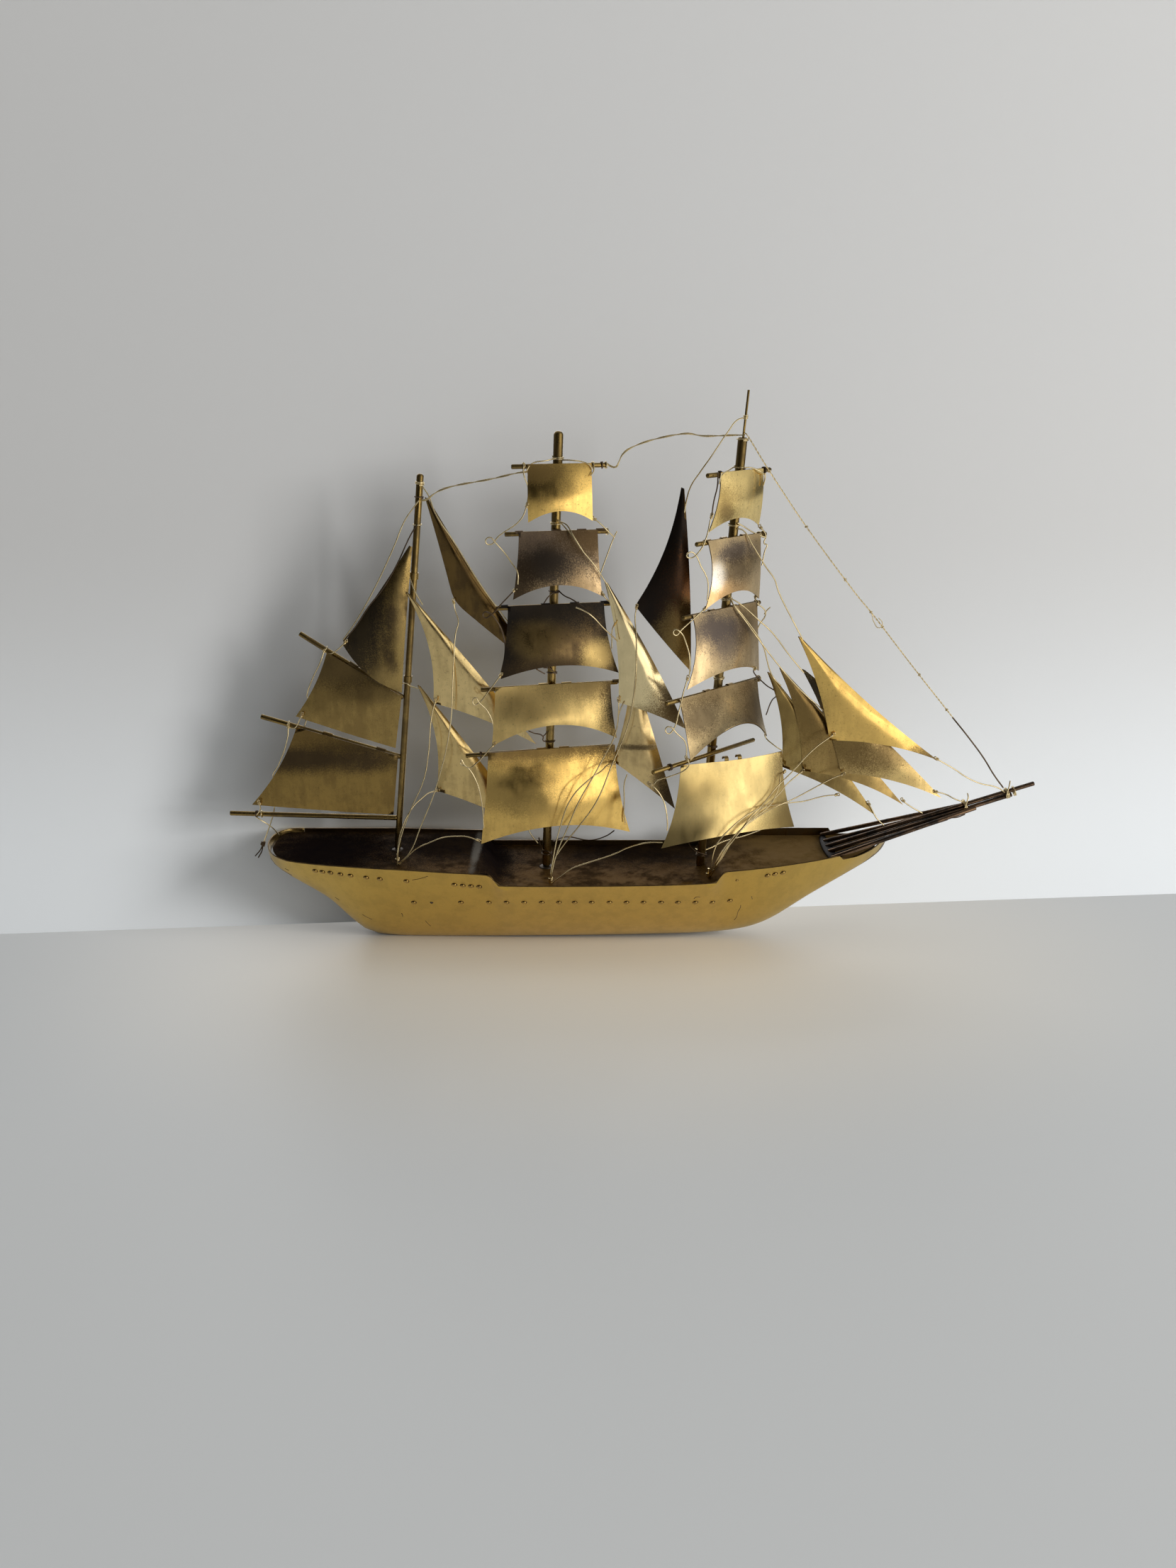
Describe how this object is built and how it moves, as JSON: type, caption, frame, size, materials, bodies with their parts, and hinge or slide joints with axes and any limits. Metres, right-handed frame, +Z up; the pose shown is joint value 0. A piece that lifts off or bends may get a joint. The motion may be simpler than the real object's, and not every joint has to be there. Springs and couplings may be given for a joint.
{
  "type": "metal sailing ship wall ornament",
  "caption": "Brass half-hull sailing ship wall ornament: rod masts and yards, bent sheet sails, wire rigging and a flat back plate with keyholes.",
  "frame": {"origin": "on the flat back face of the back plate, midway between the round heads of the two keyholes", "axes": "+X runs to the bow, +Y runs into the wall, +Z is up"},
  "size_m": [0.5966, 0.0932, 0.4095],
  "materials": {
    "hull_brass": "satin sheet brass with fine scratches and a dark rim edge",
    "polished_brass": "polished sheet brass with brown tarnish blotches",
    "aged_brass": "brown-gold tarnished rod, wire and sheet",
    "dark_brass": "heat-darkened black-brown patina with worn gold speckle"
  },
  "bodies": {
    "root": {"hull_side_plate": "hull_brass", "hull_back_plate": "aged_brass", "hull_bottom": "aged_brass", "deck": "dark_brass", "mizzen_mast": "aged_brass", "main_mast": "aged_brass", "fore_mast": "aged_brass", "fore_pole": "aged_brass", "boom": "aged_brass", "lower_gaff": "aged_brass", "upper_gaff": "aged_brass", "main_royal_yard": "aged_brass", "main_royal": "polished_brass", "main_topgallant_yard": "aged_brass", "main_topgallant": "dark_brass", "main_upper_topsail_yard": "aged_brass", "main_upper_topsail": "dark_brass", "main_lower_topsail_yard": "aged_brass", "main_lower_topsail": "polished_brass", "main_course_yard": "aged_brass", "main_course": "polished_brass", "fore_royal_yard": "aged_brass", "fore_royal": "polished_brass", "fore_topgallant_yard": "aged_brass", "fore_topgallant": "aged_brass", "fore_upper_topsail_yard": "aged_brass", "fore_upper_topsail": "aged_brass", "fore_lower_topsail_yard": "aged_brass", "fore_lower_topsail": "polished_brass", "fore_course_yard": "aged_brass", "fore_course": "polished_brass", "gaff_topsail": "dark_brass", "upper_spanker": "polished_brass", "lower_spanker": "polished_brass", "mizzen_upper_staysail": "aged_brass", "mizzen_middle_staysail": "polished_brass", "mizzen_lower_staysail": "polished_brass", "main_upper_staysail": "dark_brass", "main_middle_staysail": "polished_brass", "main_lower_staysail": "polished_brass", "inner_jib": "polished_brass", "middle_jib": "polished_brass", "outer_jib": "polished_brass", "flying_jib": "polished_brass", "bowsprit_rod_1": "dark_brass", "bowsprit_rod_2": "dark_brass", "bowsprit_rod_3": "dark_brass", "bowsprit_rod_4": "dark_brass", "bowsprit_rod_5": "dark_brass", "fore_stay": "aged_brass", "mizzen_stay": "aged_brass", "main_fore_stay": "aged_brass", "pole_stay": "aged_brass"}
  },
  "joints": []
}
